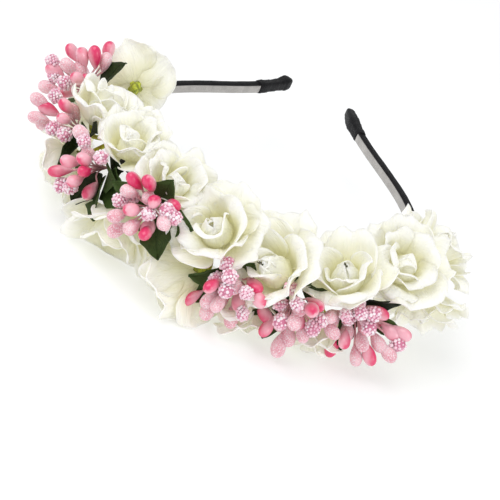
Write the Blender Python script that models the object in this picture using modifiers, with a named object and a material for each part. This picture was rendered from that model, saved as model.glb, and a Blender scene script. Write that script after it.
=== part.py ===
"""Flower crown: a sprung hoop in black ribbon, with fabric roses, berry bunches and leaves.

The hoop lies in a level plane and curves round +Z. Its middle is at -Y and its two bare arms
run towards +Y. A place on the hoop is a station (metres along the hoop from its middle, negative
to the left) and a turn round the hoop (0 points outwards, 90 up). The origin is the centre of
the base of the whole crown. Lengths are in metres.
"""

import math

import bmesh
import bpy
from mathutils import Matrix, Vector

MM = 0.001

# The hoop's line
HOOP_LENGTH = 375 * MM
FRONT_BEND = 6.75  # radians that a whole hoop would turn at the front's curvature
ARM_BEND = -3.375  # the same for the arms, which bend back a little towards their tips
TURN_SHARE = 0.72  # where the one passes into the other, as a share of half the hoop
TURN_BLEND = 0.07
STATION_STEP = 2.5 * MM

# The hoop's section, from the outside in: ribbon, spring strip, lining
CLEARANCE = 0.3 * MM
RIBBON_WALL = 0.5 * MM
STRIP_THICKNESS = 1.2 * MM
STRIP_WIDTH = 2.0 * MM
LINING_THICKNESS = 0.8 * MM
BAND_THICKNESS = RIBBON_WALL + STRIP_THICKNESS + LINING_THICKNESS + 2 * CLEARANCE
BAND_WIDTH = STRIP_WIDTH + 2 * (RIBBON_WALL + CLEARANCE)

# The bare arms and the ribbon wound over their tips
FLEX_STATION = 110 * MM  # the end of the garland, where an arm starts to bend
TIP_WRAP_LENGTH = 22 * MM
TIP_WRAP_WALL = 0.5 * MM
TIP_NOSE = 3.0 * MM  # solid ribbon past the end of the strip

# The flowers
ROSE_RADIUS = 15 * MM
BUNCH_RADIUS = 12 * MM
LEAF_REACH = 14 * MM
LEAF_THICKNESS = 0.8 * MM
CALYX_HEIGHT = 3.5 * MM
CALYX_RADIUS = 4.0 * MM
STEM_RADIUS = 2.2 * MM
FLOWER_GAP = 0.32 * MM
INNER_OVERHANG = 5 * MM  # how far petals reach in past the hoop's line
END_MARGIN = 2 * MM  # bare hoop between the last petals and the bending arm
BASE_DEPTH = 24 * MM  # the crown rests on petals pressed flat this far below the hoop's plane

# station as a share of the garland's half, turn round the hoop in degrees, distance from
# the hoop's line in mm
ROSES = (
    (-0.91, 65, 11), (-0.60, 58, 12), (-0.39, 62, 13), (-0.19, 60, 13), (-0.03, 29, 13),
    (0.15, 20, 14), (0.32, 30, 14), (0.52, 58, 13), (0.71, 52, 12), (0.88, -42, 15),
    (-0.80, -45, 17), (-0.53, -45, 19), (-0.26, -55, 18), (-0.05, -60, 17), (0.13, -62, 18),
    (0.32, -58, 19), (0.65, -35, 19),
)
BUNCHES = (
    (-0.69, 24, 21), (-0.54, -2, 20), (-0.37, 1, 21), (-0.17, 14, 22), (0.07, -18, 21),
    (0.21, -14, 22), (0.37, -13, 22),
)

# The rose's outline as shares of its radius (distance from its axis, height), top to bottom
ROSE_OUTLINE = (
    (0.0, 0.62), (0.30, 0.58), (0.42, 0.40), (0.62, 0.52), (0.88, 0.42),
    (1.0, 0.12), (0.90, -0.22), (0.60, -0.50), (0.30, -0.62), (0.0, -0.62),
)
ROSE_SIDES = 16
ROSE_BASE = 0.62
BUNCH_BUMP = 0.10
LEAF_LOBES = 3
LEAF_TIP_POINTS = 8

COLOURS = {
    "black_satin": ((0.02, 0.02, 0.022), 0.42, 0.0),
    "grey_felt": ((0.42, 0.41, 0.40), 0.9, 0.0),
    "spring_steel": ((0.5, 0.5, 0.52), 0.35, 1.0),
    "ivory_petal": ((0.90, 0.88, 0.78), 0.75, 0.0),
    "calyx_green": ((0.42, 0.48, 0.12), 0.7, 0.0),
    "berry_pink": ((0.90, 0.42, 0.50), 0.3, 0.0),
    "leaf_green": ((0.06, 0.13, 0.05), 0.7, 0.0),
}


def clear_scene():
    for obj in list(bpy.data.objects):
        bpy.data.objects.remove(obj, do_unlink=True)


def material(name):
    found = bpy.data.materials.get(name)
    if found:
        return found
    colour, roughness, metallic = COLOURS[name]
    made = bpy.data.materials.new(name)
    made.use_nodes = True
    shader = made.node_tree.nodes["Principled BSDF"]
    shader.inputs["Base Color"].default_value = (*colour, 1)
    shader.inputs["Roughness"].default_value = roughness
    shader.inputs["Metallic"].default_value = metallic
    return made


def collection(name):
    made = bpy.data.collections.new(name)
    bpy.context.scene.collection.children.link(made)
    return made


def empty(name, place, holder, parent=None):
    made = bpy.data.objects.new(name, None)
    made.empty_display_size = 10 * MM
    holder.objects.link(made)
    made.location = place
    made.parent = parent
    return made


def add(name, data, finish, holder, parent):
    """The object of a mesh or curve that is in world places, under a parent that isn't turned."""
    made = bpy.data.objects.new(name, data)
    data.materials.append(material(finish))
    holder.objects.link(made)
    made.parent = parent
    made.matrix_parent_inverse = Matrix.Translation(-world_place(parent))
    return made


def world_place(obj):
    place = Vector((0, 0, 0))
    while obj:
        place += obj.location
        obj = obj.parent
    return place


# The hoop's line, as places at even small steps from the left tip to the right

def curvature(station):
    share = abs(2 * station / HOOP_LENGTH)
    change = 1 / (1 + math.exp((share - TURN_SHARE) / TURN_BLEND))
    return (ARM_BEND + (FRONT_BEND - ARM_BEND) * change) / HOOP_LENGTH


def hoop_at(station):
    """The place and heading at a station, adding up small chords from the hoop's middle."""
    steps = max(1, math.ceil(abs(station) / (0.5 * MM)))
    step = station / steps
    place, heading = Vector((0, 0, 0)), 0.0
    for i in range(steps):
        middle = (i + 0.5) * step
        heading += curvature(middle) * step / 2
        place += Vector((math.cos(heading), math.sin(heading), 0)) * step
        heading += curvature(middle) * step / 2
    return place, heading


def outward(heading):
    return Vector((math.sin(heading), -math.cos(heading), 0))


def along(heading):
    return Vector((math.cos(heading), math.sin(heading), 0))


def stations(start, end):
    count = max(2, round(abs(end - start) / STATION_STEP))
    return [start + (end - start) * i / count for i in range(count + 1)]


def strip_outline(start, end, inner, outer):
    """A closed outline between two offsets from the hoop's line, from one station to another."""
    far, near = [], []
    for station in stations(start, end):
        place, heading = hoop_at(station)
        far.append(place + outward(heading) * outer)
        near.append(place + outward(heading) * inner)
    return far + near[::-1]


def plate_curve(name, outline, thickness):
    data = bpy.data.curves.new(name, "CURVE")
    data.dimensions = "2D"
    data.fill_mode = "BOTH"
    data.extrude = thickness / 2
    spline = data.splines.new("POLY")
    spline.points.add(len(outline) - 1)
    for point, place in zip(spline.points, outline):
        point.co = (place.x, place.y, 0, 1)
    spline.use_cyclic_u = True
    return data


def as_mesh(obj, name):
    """The evaluated object as a welded mesh; the object is removed."""
    bpy.context.view_layer.update()
    evaluated = obj.evaluated_get(bpy.context.evaluated_depsgraph_get())
    mesh = bpy.data.meshes.new_from_object(evaluated)
    mesh.name = name
    shape = bmesh.new()
    shape.from_mesh(mesh)
    bmesh.ops.remove_doubles(shape, verts=shape.verts, dist=1e-6)
    bmesh.ops.recalc_face_normals(shape, faces=shape.faces)
    shape.to_mesh(mesh)
    shape.free()
    bpy.data.objects.remove(obj, do_unlink=True)
    mesh.materials.clear()
    return mesh


def plate_mesh(name, outline, thickness, holder):
    guide = bpy.data.objects.new(name + "_outline", plate_curve(name, outline, thickness))
    holder.objects.link(guide)
    return as_mesh(guide, name)


def cutter(name, outline, thickness, holder, parent):
    made = bpy.data.objects.new(name, plate_mesh(name, outline, thickness, holder))
    holder.objects.link(made)
    made.parent = parent
    made.matrix_parent_inverse = Matrix.Translation(-world_place(parent))
    made.display_type = "WIRE"
    made.hide_render = True
    return made


def cut(obj, tool, name):
    modifier = obj.modifiers.new(name, "BOOLEAN")
    modifier.operation = "DIFFERENCE"
    modifier.solver = "EXACT"
    modifier.object = tool


OUTER_FACE = BAND_THICKNESS / 2
INNER_FACE = -BAND_THICKNESS / 2
STRIP_OUTER = OUTER_FACE - RIBBON_WALL - CLEARANCE
STRIP_INNER = STRIP_OUTER - STRIP_THICKNESS
LINING_OUTER = INNER_FACE + LINING_THICKNESS
RIBBON_INNER = LINING_OUTER + CLEARANCE


def hoop_length_pieces(prefix, start, end, strip_end, parts, cutters, parent):
    """The spring strip, the black ribbon folded over it as a channel, and the lining."""
    strip = plate_mesh(prefix + "_spring_strip",
                       strip_outline(start, strip_end, STRIP_INNER, STRIP_OUTER),
                       STRIP_WIDTH, cutters)
    add(prefix + "_spring_strip", strip, "spring_steel", parts, parent)
    lining = plate_mesh(prefix + "_lining",
                        strip_outline(start, end, INNER_FACE, LINING_OUTER), BAND_WIDTH, cutters)
    add(prefix + "_lining", lining, "grey_felt", parts, parent)
    ribbon = plate_mesh(prefix + "_ribbon",
                        strip_outline(start, end, RIBBON_INNER, OUTER_FACE), BAND_WIDTH, cutters)
    channel = add(prefix + "_ribbon", ribbon, "black_satin", parts, parent)
    reach = math.copysign(2 * MM, end - start)
    hollow = cutter(prefix + "_ribbon_hollow",
                    strip_outline(start - reach, end + reach, RIBBON_INNER - MM,
                                  STRIP_OUTER + CLEARANCE),
                    STRIP_WIDTH + 2 * CLEARANCE, cutters, parent)
    cut(channel, hollow, "channel")


def tip_wrap(prefix, side, parts, cutters, parent):
    """Ribbon wound over the arm's end as a cap, with a socket for the strip's end."""
    tip = side * HOOP_LENGTH / 2
    start = tip - side * TIP_WRAP_LENGTH
    outer = OUTER_FACE + TIP_WRAP_WALL
    outline = strip_outline(start, tip, -outer, outer)
    name = prefix + "_tip_wrap"
    mesh = plate_mesh(name, outline, BAND_WIDTH + 2 * TIP_WRAP_WALL, cutters)
    wrap = add(name, mesh, "black_satin", parts, parent)
    bevel = wrap.modifiers.new("soft_edges", "BEVEL")
    bevel.width = 0.5 * MM
    bevel.segments = 2
    bevel.limit_method = "ANGLE"
    bevel.angle_limit = math.radians(40)
    socket = cutter(name + "_socket",
                    strip_outline(start - side * 2 * MM, tip - side * (TIP_NOSE - CLEARANCE),
                                  STRIP_INNER - CLEARANCE, STRIP_OUTER + CLEARANCE),
                    STRIP_WIDTH + 2 * CLEARANCE, cutters, parent)
    cut(wrap, socket, "socket")
    return start, tip - side * TIP_NOSE


# The flowers: each keeps to its own cell, between the hoop and its neighbours

class Flower:
    def __init__(self, name, share, turn, distance, radius):
        self.name = name
        self.root, heading = hoop_at(share * FLEX_STATION)
        self.heading = heading
        turn = math.radians(turn)
        self.axis = outward(heading) * math.cos(turn) + Vector((0, 0, math.sin(turn)))
        self.distance = distance * MM
        self.centre = self.root + self.axis * self.distance
        self.radius = radius
        self.planes = []

    def own_planes(self):
        """The hoop, the wearer's side, the ends of the garland and the base that it rests on."""
        out = outward(self.heading)
        half = (abs(self.axis.dot(out)) * BAND_THICKNESS + abs(self.axis.z) * BAND_WIDTH) / 2
        self.foot = half + FLOWER_GAP  # how far the flower's foot is from the hoop's line
        self.planes.append((self.from_hoop(self.foot), self.axis))
        self.planes.append((self.root - out * INNER_OVERHANG, out))
        self.planes.append((Vector((0, 0, -BASE_DEPTH)), Vector((0, 0, 1))))
        for side in (-1, 1):
            end, heading = hoop_at(side * (FLEX_STATION - END_MARGIN))
            if (self.centre - end).length < 3 * self.radius:
                self.planes.append((end, along(heading) * -side))

    def share_space(self, other):
        """Cuts both back from the plane where their spheres would meet."""
        apart = other.centre - self.centre
        distance = apart.length
        if distance > self.radius + other.radius + 2 * LEAF_REACH / 3:
            return
        way = apart / distance
        place = (distance**2 + self.radius**2 - other.radius**2) / (2 * distance)
        self.planes.append((self.centre + way * (place - FLOWER_GAP / 2), -way))
        other.planes.append((self.centre + way * (place + FLOWER_GAP / 2), way))

    def from_hoop(self, reach):
        return self.root + self.axis * reach

    def trimmed(self, mesh, extra=()):
        """The mesh cut back to this flower's cell, with each cut closed by a flat face."""
        shape = bmesh.new()
        shape.from_mesh(mesh)
        for place, inside in [*self.planes, *extra]:
            if all((v.co - place).dot(inside) > 0 for v in shape.verts):
                continue
            bmesh.ops.bisect_plane(shape, geom=[*shape.verts, *shape.edges, *shape.faces],
                                   dist=1e-7, plane_co=place, plane_no=-inside,
                                   clear_outer=True)
            rim = [edge for edge in shape.edges if edge.is_boundary]
            bmesh.ops.holes_fill(shape, edges=rim, sides=0)
        bmesh.ops.remove_doubles(shape, verts=shape.verts, dist=2e-6)
        bmesh.ops.recalc_face_normals(shape, faces=shape.faces)
        bmesh.ops.triangulate(shape, faces=[f for f in shape.faces if len(f.verts) > 4])
        shape.to_mesh(mesh)
        shape.free()
        return mesh


def facing(axis, place):
    """The matrix that puts a shape's +Z along an axis, at a place."""
    return Matrix.Translation(place) @ axis.to_track_quat("Z", "Y").to_matrix().to_4x4()


def rose_blank(holder):
    """The turned rose of radius 1: a heart in a groove, a rim of petals and a round underside."""
    data = bpy.data.meshes.new("rose_outline")
    data.from_pydata([(r, 0, h) for r, h in ROSE_OUTLINE],
                     [(i, i + 1) for i in range(len(ROSE_OUTLINE) - 1)], [])
    guide = bpy.data.objects.new("rose_outline", data)
    holder.objects.link(guide)
    turned = guide.modifiers.new("turned", "SCREW")
    turned.steps = turned.render_steps = ROSE_SIDES
    turned.use_merge_vertices = True
    turned.merge_threshold = 1e-4
    return as_mesh(guide, "rose_blank")


def rose(flower, blank, parts, parent):
    petals = blank.copy()
    petals.name = flower.name + "_petals"
    petals.transform(facing(flower.axis, flower.centre) @ Matrix.Scale(flower.radius, 4))
    top = max(flower.distance - ROSE_BASE * flower.radius, flower.foot + CALYX_HEIGHT)
    flower.trimmed(petals, [(flower.from_hoop(top + CLEARANCE), flower.axis)])
    smooth(petals)
    add(petals.name, petals, "ivory_petal", parts, parent)

    calyx = bpy.data.meshes.new(flower.name + "_calyx")
    shape = bmesh.new()
    bmesh.ops.create_cone(shape, cap_ends=True, segments=12, radius1=STEM_RADIUS,
                          radius2=CALYX_RADIUS, depth=top - flower.foot)
    shape.transform(facing(flower.axis, flower.from_hoop((top + flower.foot) / 2)))
    shape.to_mesh(calyx)
    shape.free()
    flower.trimmed(calyx)
    smooth(calyx)
    add(calyx.name, calyx, "calyx_green", parts, parent)


def berry_bunch(flower, parts, parent):
    """The bunch of berries as one rounded, bumpy solid."""
    mesh = bpy.data.meshes.new(flower.name + "_berries")
    shape = bmesh.new()
    bmesh.ops.create_icosphere(shape, subdivisions=2, radius=BUNCH_RADIUS)
    for index, vertex in enumerate(shape.verts):
        vertex.co *= 1 - BUNCH_BUMP * (index % 2)
    shape.transform(facing(flower.axis, flower.centre))
    shape.to_mesh(mesh)
    shape.free()
    floor = flower.from_hoop(flower.distance - BUNCH_RADIUS / 2 + CLEARANCE)
    flower.trimmed(mesh, [(floor, flower.axis)])
    smooth(mesh)
    add(mesh.name, mesh, "berry_pink", parts, parent)


def leaf_outline():
    """Three pointed leaves round one middle: the reach falls off from each leaf's tip."""
    outline = []
    for lobe in range(LEAF_LOBES):
        for i in range(LEAF_TIP_POINTS):
            share = i / LEAF_TIP_POINTS
            angle = 2 * math.pi * (lobe + share) / LEAF_LOBES
            reach = 0.36 + 0.64 * abs(math.cos(math.pi * share)) ** 1.5
            outline.append(Vector((math.cos(angle), math.sin(angle), 0)) * reach * LEAF_REACH)
    return outline


def leaves(flower, parts, cutters, parent):
    """Leaves cut from one piece of cloth, with the bunch's bound stem under them."""
    name = flower.name + "_leaves"
    plate = bpy.data.objects.new(name + "_plate",
                                 plate_mesh(name + "_plate", leaf_outline(), LEAF_THICKNESS,
                                            cutters))
    cutters.objects.link(plate)
    stem_mesh = bpy.data.meshes.new(name + "_stem")
    shape = bmesh.new()
    top = flower.distance - BUNCH_RADIUS / 2 - LEAF_THICKNESS / 2
    stem = top - flower.foot
    bmesh.ops.create_cone(shape, cap_ends=True, segments=10, radius1=STEM_RADIUS / 2,
                          radius2=STEM_RADIUS, depth=stem)
    shape.transform(Matrix.Translation((0, 0, -stem / 2)))
    shape.to_mesh(stem_mesh)
    shape.free()
    stem_object = bpy.data.objects.new(name + "_stem", stem_mesh)
    cutters.objects.link(stem_object)
    union = plate.modifiers.new("stem", "BOOLEAN")
    union.operation = "UNION"
    union.solver = "EXACT"
    union.object = stem_object
    mesh = as_mesh(plate, name)
    bpy.data.objects.remove(stem_object, do_unlink=True)
    mesh.transform(facing(flower.axis, flower.from_hoop(top)))
    flower.trimmed(mesh)
    add(name, mesh, "leaf_green", parts, parent)


def smooth(mesh):
    mesh.shade_smooth()
    mesh.set_sharp_from_angle(angle=math.radians(50))


def build():
    clear_scene()
    parts = collection("flower_crown")
    cutters = collection("cutters")
    frame = empty("crown_frame", (0, 0, 0), parts)

    hoop_length_pieces("crown", -(FLEX_STATION - CLEARANCE / 2), FLEX_STATION - CLEARANCE / 2,
                       FLEX_STATION - CLEARANCE / 2, parts, cutters, frame)
    for prefix, side in (("left_arm", -1), ("right_arm", 1)):
        knuckle, heading = hoop_at(side * FLEX_STATION)
        knuckle += outward(heading) * OUTER_FACE
        hinge = empty(prefix + "_flex", knuckle, parts, frame)
        wrap_start, strip_end = tip_wrap(prefix, side, parts, cutters, hinge)
        hoop_length_pieces(prefix, side * (FLEX_STATION + CLEARANCE / 2),
                           wrap_start - side * CLEARANCE, strip_end, parts, cutters, hinge)

    roses = [Flower(f"rose_{i:02d}", *where, ROSE_RADIUS)
             for i, where in enumerate(ROSES, 1)]
    bunches = [Flower(f"bunch_{i}", *where, LEAF_REACH)
               for i, where in enumerate(BUNCHES, 1)]
    flowers = roses + bunches
    for flower in flowers:
        flower.own_planes()
    for i, flower in enumerate(flowers):
        for other in flowers[i + 1:]:
            flower.share_space(other)
    blank = rose_blank(cutters)
    for flower in roses:
        rose(flower, blank, parts, frame)
    for flower in bunches:
        berry_bunch(flower, parts, frame)
        leaves(flower, parts, cutters, frame)
    stand_on_origin(frame, parts)


def stand_on_origin(frame, parts):
    """Moves the whole crown so that the centre of its base is the origin."""
    bpy.context.view_layer.update()
    graph = bpy.context.evaluated_depsgraph_get()
    corners = [obj.evaluated_get(graph).matrix_world @ Vector(corner)
               for obj in parts.objects if obj.type == "MESH"
               for corner in obj.evaluated_get(graph).bound_box]
    low = Vector([min(c[axis] for c in corners) for axis in range(3)])
    high = Vector([max(c[axis] for c in corners) for axis in range(3)])
    frame.location = (-(low.x + high.x) / 2, -(low.y + high.y) / 2, -low.z)


build()
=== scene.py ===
"""The looks of a flower crown: a satin-covered spring hoop with a garland of ivory roses and bunches
of pink flower buds. Lengths are in millimetres until a mesh is made, and Blender's are in metres."""

import math

import bmesh
import bpy
import numpy as np
from mathutils import Matrix, Vector


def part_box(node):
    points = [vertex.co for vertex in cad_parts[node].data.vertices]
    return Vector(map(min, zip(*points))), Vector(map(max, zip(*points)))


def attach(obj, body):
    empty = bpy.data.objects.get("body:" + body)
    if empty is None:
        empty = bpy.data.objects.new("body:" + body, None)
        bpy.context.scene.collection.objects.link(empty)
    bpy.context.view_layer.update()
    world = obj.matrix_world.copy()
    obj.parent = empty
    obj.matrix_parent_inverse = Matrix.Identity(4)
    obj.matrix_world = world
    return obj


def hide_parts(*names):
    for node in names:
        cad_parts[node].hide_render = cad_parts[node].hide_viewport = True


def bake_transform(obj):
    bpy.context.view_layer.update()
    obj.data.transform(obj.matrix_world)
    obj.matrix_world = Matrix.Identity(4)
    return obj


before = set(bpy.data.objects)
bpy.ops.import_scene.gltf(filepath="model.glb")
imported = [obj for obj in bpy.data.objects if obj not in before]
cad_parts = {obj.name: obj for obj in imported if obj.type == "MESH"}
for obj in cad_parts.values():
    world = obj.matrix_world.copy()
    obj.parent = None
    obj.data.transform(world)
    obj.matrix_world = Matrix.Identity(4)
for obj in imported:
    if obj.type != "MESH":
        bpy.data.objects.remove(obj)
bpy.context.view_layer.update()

MM = 0.001

# ---------------------------------------------------------------------------------------------
# The hoop's run. A spring strip bent to the shape of a head lies flat in one level plane: it
# is round at the front, almost straight past the ears, and bends back a little at its tips.

HOOP_LENGTH = 375.0
FRONT_BEND = 6.75  # radians that a whole hoop would turn at the front's curvature
ARM_BEND = -3.375  # the same for the arms
BEND_CHANGE = 0.72  # share of half the hoop at which the one curvature gives way to the other
BEND_BLUR = 0.07
FLEX_STATION = 110.0  # the end of the garland, where an arm starts to bend
RUN_STEPS = 1501


def running_sum(rate, spacing):
    """The trapezium sum of a rate along its last axis, started so that its middle entry is 0."""
    steps = (rate[..., 1:] + rate[..., :-1]) / 2 * spacing
    total = np.concatenate([np.zeros_like(rate[..., :1]), np.cumsum(steps, axis=-1)], axis=-1)
    middle = rate.shape[-1] // 2
    return total - total[..., middle : middle + 1]


stations = np.linspace(-HOOP_LENGTH / 2, HOOP_LENGTH / 2, RUN_STEPS)
station_gap = stations[1] - stations[0]
toward_arm = 1 / (1 + np.exp((np.abs(2 * stations / HOOP_LENGTH) - BEND_CHANGE) / BEND_BLUR))
curvatures = (ARM_BEND + (FRONT_BEND - ARM_BEND) * toward_arm) / HOOP_LENGTH
headings = running_sum(curvatures, station_gap)
ribbon_low, ribbon_high = (np.array(corner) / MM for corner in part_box("crown_ribbon"))
BAND_DEPTH = 3.1  # the covered hoop's thickness, from its lining to its outer face
BAND_WIDTH = ribbon_high[2] - ribbon_low[2]
apex = np.array([
    (ribbon_low[0] + ribbon_high[0]) / 2,
    ribbon_low[1] + BAND_DEPTH / 2,
    (ribbon_low[2] + ribbon_high[2]) / 2,
])
run_x = apex[0] + running_sum(np.cos(headings), station_gap)
run_y = apex[1] + running_sum(np.sin(headings), station_gap)
UP = np.array([0.0, 0.0, 1.0])


def hoop_at(station):
    """Points of the hoop at some stations, and there the ways along it and out of it."""
    station = np.asarray(station, float)
    heading = np.interp(station, stations, headings)
    level = np.zeros_like(heading)
    x, y = np.interp(station, stations, run_x), np.interp(station, stations, run_y)
    point = np.stack([x, y, level + apex[2]], -1)
    along = np.stack([np.cos(heading), np.sin(heading), level], -1)
    outward = np.stack([np.sin(heading), -np.cos(heading), level], -1)
    return point, along, outward


# ---------------------------------------------------------------------------------------------
# The studio: a pale seamless floor, a soft light from the upper left, a weaker one from the
# right, and a camera that looks down on the front of the crown, tipped to one side.

FLOOR_REACH = 4.0  # metres
FLOOR_DROP = 0.0003  # metres that the paper lies below the lowest petals
FLOOR_GLOW = 0.36  # the paper's own light, which keeps it white outside the shadow
AIR_GLOW = 0.62
CAMERA_AROUND, CAMERA_ABOVE, CAMERA_TIP = map(math.radians, (3.13, 27.5, 25.15))
CAMERA_DISTANCE = 500.0
LOOKED_AT = apex + np.array([8.9, 0.7, 0.0])
SENSOR, LENS = 36.0, 114.84


class Flow:
    """A value, colour or vector on its way through a material's nodes. Sums and products of it and of
    plain numbers add Math nodes; every other node comes from node()."""

    def __init__(self, tree, socket=None):
        self.tree, self.socket = tree, socket

    def node(self, kind, settings=None, sockets=None, output=0):
        """Adds one node: first its settings, then its sockets' values or links. Returns one output."""
        made = self.tree.nodes.new("ShaderNode" + kind)
        for name, value in (settings or {}).items():
            setattr(made, name, value)
        for name, value in (sockets or {}).items():
            if isinstance(value, Flow):
                self.tree.links.new(value.socket, made.inputs[name])
            else:
                made.inputs[name].default_value = value
        return Flow(self.tree, made.outputs[output])

    def math(self, operation, first, second=0.0, clamp=False):
        return self.node("Math", {"operation": operation, "use_clamp": clamp}, {0: first, 1: second})

    def __add__(self, other):
        return self.math("ADD", self, other)

    def __sub__(self, other):
        return self.math("SUBTRACT", self, other)

    def __rsub__(self, other):
        return self.math("SUBTRACT", other, self)

    def __mul__(self, other):
        return self.math("MULTIPLY", self, other)

    def __pow__(self, other):
        return self.math("POWER", self, other)

    __radd__, __rmul__ = __add__, __mul__

    def clamped(self):
        return self.math("ADD", self, 0.0, clamp=True)

    def eased(self, start, end):
        """0 below start, 1 above end, and a smooth step between them."""
        return self.node("MapRange", {"interpolation_type": "SMOOTHSTEP"}, {0: self, 1: start, 2: end})

    def part(self, axis):
        return self.node("SeparateXYZ", None, {0: self}, axis)

    def mixed(self, first, second):
        """The first colour where this is 0 and the second where it is 1."""
        return self.node("Mix", {"data_type": "RGBA"}, {0: self, 6: first, 7: second}, 2)

    def scaled(self, scale):
        """This vector times a number, or times a vector of three."""
        factors = scale if isinstance(scale, tuple) else (scale,) * 3
        return self.node("VectorMath", {"operation": "MULTIPLY"}, {0: self, 1: factors})

    def noise(self, scale, detail=2.0, roughness=0.5):
        """Noise from 0 to 1, read at this vector times the scale."""
        sockets = {"Vector": self.scaled(scale), "Scale": 1.0, "Detail": detail, "Roughness": roughness}
        return self.node("TexNoise", None, sockets)

    def bumped(self, depth, strength=1.0):
        """The normal of a surface raised by this height, where 1 is depth metres."""
        return self.node("Bump", None, {"Height": self, "Distance": depth, "Strength": strength})


def new_finish(name, constants):
    """A material with its Principled shader's constant sockets set. Returns it, its shader and a Flow."""
    material = bpy.data.materials.new(name)
    material.use_nodes = True
    tree = material.node_tree
    shader = tree.nodes["Principled BSDF"]
    for socket, value in constants.items():
        shader.inputs[socket].default_value = value
    return material, shader, Flow(tree)


def feed(shader, sockets):
    """Links flows into a shader's sockets."""
    for name, flow in sockets.items():
        flow.tree.links.new(flow.socket, shader.inputs[name])


def object_place(flow):
    """The Object coordinates, in metres."""
    return flow.node("TexCoord", None, None, "Object")


def floor_finish():
    """Matt white paper with a barely seen mottle."""
    constants = {"Roughness": 0.9, "Emission Color": (1, 1, 1, 1), "Emission Strength": FLOOR_GLOW}
    material, shader, flow = new_finish("studio_paper", constants)
    mottle = object_place(flow).noise(6.0)
    feed(shader, {"Base Color": mottle.mixed((0.68, 0.69, 0.70, 1), (0.71, 0.72, 0.73, 1))})
    return material


bpy.ops.mesh.primitive_plane_add(size=2 * FLOOR_REACH, location=(0, 0, -FLOOR_DROP))
studio_floor = bpy.context.object
studio_floor.name = "studio_floor"
studio_floor.data.materials.append(floor_finish())

scene = bpy.context.scene
scene.view_settings.view_transform = "Standard"
studio_air = bpy.data.worlds.new("studio_air")
studio_air.use_nodes = True
air_light = studio_air.node_tree.nodes["Background"]
air_light.inputs["Color"].default_value = (1, 1, 1, 1)
air_light.inputs["Strength"].default_value = AIR_GLOW
scene.world = studio_air


def soft_box(name, place, size, watts):
    """A square area light at a place in metres, aimed at the crown."""
    lamp = bpy.data.lights.new(name, "AREA")
    lamp.size, lamp.energy = size, watts
    holder = bpy.data.objects.new(name, lamp)
    holder.location = place
    aim = Vector(apex * MM) + Vector((0, 0.05, 0)) - Vector(place)
    holder.rotation_euler = aim.to_track_quat("-Z", "Y").to_euler()
    scene.collection.objects.link(holder)


soft_box("key_light", (-0.45, -0.35, 0.95), 1.0, 6.5)
soft_box("side_light", (0.9, -0.6, 0.5), 0.6, 3.0)

back = np.array([
    math.sin(CAMERA_AROUND) * math.cos(CAMERA_ABOVE),
    -math.cos(CAMERA_AROUND) * math.cos(CAMERA_ABOVE),
    math.sin(CAMERA_ABOVE),
])
level_right = np.cross(-back, UP) / np.linalg.norm(np.cross(-back, UP))
level_up = np.cross(back, level_right)
right = math.cos(CAMERA_TIP) * level_right + math.sin(CAMERA_TIP) * level_up
upward = math.cos(CAMERA_TIP) * level_up - math.sin(CAMERA_TIP) * level_right
eye = (LOOKED_AT + CAMERA_DISTANCE * back) * MM
camera = bpy.data.objects.new("camera", bpy.data.cameras.new("camera"))
camera.data.sensor_width, camera.data.lens = SENSOR, LENS
camera.matrix_world = Matrix.Translation(eye) @ Matrix(np.stack([right, upward, back], 1)).to_4x4()
scene.collection.objects.link(camera)
scene.camera = camera

# ---------------------------------------------------------------------------------------------
# The satin ribbon: black satin glued round the outer face and both edges of the spring strip.
# One length covers the whole hoop; it is made as a left and a right half that meet in the
# middle of the garland.

RIBBON_WALL = 0.5
RIBBON_CORNER = 0.55
RIBBON_END = 166.0  # station at which the ribbon runs in under a tip's wrapping
HALF_STEPS = 260


def quads(copies, rows, columns):
    """The faces of some equal grids, each of rows by columns points, numbered one after another."""
    corner = np.arange(copies * rows * columns).reshape(copies, rows, columns)
    around = [corner[:, :-1, :-1], corner[:, :-1, 1:], corner[:, 1:, 1:], corner[:, 1:, :-1]]
    return np.stack(around, -1).reshape(-1, 4)


def new_piece(name, sheets, material, closed=True):
    """A smooth object from sheets, each a (points, uv, tint) of shape (copies, rows, columns, 3, 2 or
    none). The uv goes to the map cloth_map and the tint to the attribute tint. A closed piece has its
    seams and poles welded and its faces turned outwards."""
    points = np.concatenate([sheet[0].reshape(-1, 3) for sheet in sheets]) * MM
    flat = np.concatenate([sheet[1].reshape(-1, 2) for sheet in sheets])
    tint_and_shade = np.concatenate([sheet[2].reshape(-1) for sheet in sheets])
    faces, first = [], 0
    for sheet in sheets:
        faces.append(quads(*sheet[0].shape[:3]) + first)
        first += sheet[0].size // 3
    faces = np.concatenate(faces)
    mesh = bpy.data.meshes.new(name)
    mesh.vertices.add(len(points))
    mesh.vertices.foreach_set("co", points.astype(np.float32).ravel())
    mesh.loops.add(faces.size)
    mesh.loops.foreach_set("vertex_index", faces.astype(np.int32).ravel())
    mesh.polygons.add(len(faces))
    mesh.polygons.foreach_set("loop_start", np.arange(0, faces.size, 4, dtype=np.int32))
    mesh.update(calc_edges=True)
    corners = flat[faces.ravel()].astype(np.float32)
    mesh.uv_layers.new(name="cloth_map").data.foreach_set("uv", corners.ravel())
    mesh.attributes.new("tint_and_shade", "FLOAT", "POINT").data.foreach_set("value", tint_and_shade.astype(np.float32))
    if closed:
        weld(mesh)
    mesh.polygons.foreach_set("use_smooth", np.ones(len(mesh.polygons), bool))
    mesh.materials.append(material)
    piece = bpy.data.objects.new(name, mesh)
    scene.collection.objects.link(piece)
    return piece


def weld(mesh):
    """Merges the doubled points of seams and poles, closes open ends, and turns the faces outwards."""
    work = bmesh.new()
    work.from_mesh(mesh)
    bmesh.ops.remove_doubles(work, verts=work.verts, dist=2e-6)
    bmesh.ops.holes_fill(work, edges=work.edges)
    bmesh.ops.recalc_face_normals(work, faces=work.faces)
    work.to_mesh(mesh)
    work.free()


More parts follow.
